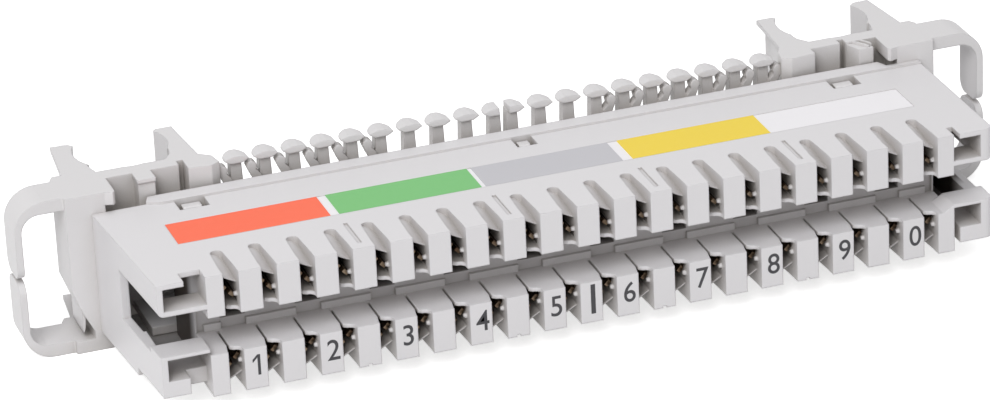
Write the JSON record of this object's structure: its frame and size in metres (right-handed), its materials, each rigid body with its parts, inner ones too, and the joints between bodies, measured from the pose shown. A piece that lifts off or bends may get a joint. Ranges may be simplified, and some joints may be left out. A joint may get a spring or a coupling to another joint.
{
  "type": "punch down wiring block",
  "caption": "Rod-mounted punch down wiring block: two rows of slotted teeth over slanted blade contacts, colour label strip, rear wire combs, side wire rings and clip-on rod claws.",
  "frame": {"origin": "centre of the bounding box, on the lower faces of the rear housing's clamps", "axes": "+X along the rows of wire slots, from the flared end to the straight end; +Y from the slots' front faces towards the rods; +Z along the rods, towards the row with the label strip"},
  "size_m": [0.1298, 0.039, 0.0212],
  "materials": {
    "front_plastic": "satin moulded",
    "rear_plastic": "satin moulded",
    "label_white": "smooth",
    "label_orange": "smooth",
    "label_green": "smooth",
    "label_grey": "smooth",
    "label_yellow": "smooth",
    "contact_metal": "silver plated"
  },
  "bodies": {
    "root": {"front_housing": "front_plastic", "rear_housing": "rear_plastic", "label_carrier": "label_white", "label_orange": "label_orange", "label_green": "label_green", "label_grey": "label_grey", "label_yellow": "label_yellow", "upper_contact_01": "contact_metal", "upper_contact_02": "contact_metal", "upper_contact_03": "contact_metal", "upper_contact_04": "contact_metal", "upper_contact_05": "contact_metal", "upper_contact_06": "contact_metal", "upper_contact_07": "contact_metal", "upper_contact_08": "contact_metal", "upper_contact_09": "contact_metal", "upper_contact_10": "contact_metal", "upper_contact_11": "contact_metal", "upper_contact_12": "contact_metal", "upper_contact_13": "contact_metal", "upper_contact_14": "contact_metal", "upper_contact_15": "contact_metal", "upper_contact_16": "contact_metal", "upper_contact_17": "contact_metal", "upper_contact_18": "contact_metal", "upper_contact_19": "contact_metal", "upper_contact_20": "contact_metal", "lower_contact_01": "contact_metal", "lower_contact_02": "contact_metal", "lower_contact_03": "contact_metal", "lower_contact_04": "contact_metal", "lower_contact_05": "contact_metal", "lower_contact_06": "contact_metal", "lower_contact_07": "contact_metal", "lower_contact_08": "contact_metal", "lower_contact_09": "contact_metal", "lower_contact_10": "contact_metal", "lower_contact_11": "contact_metal", "lower_contact_12": "contact_metal", "lower_contact_13": "contact_metal", "lower_contact_14": "contact_metal", "lower_contact_15": "contact_metal", "lower_contact_16": "contact_metal", "lower_contact_17": "contact_metal", "lower_contact_18": "contact_metal", "lower_contact_19": "contact_metal", "lower_contact_20": "contact_metal"}
  },
  "joints": []
}
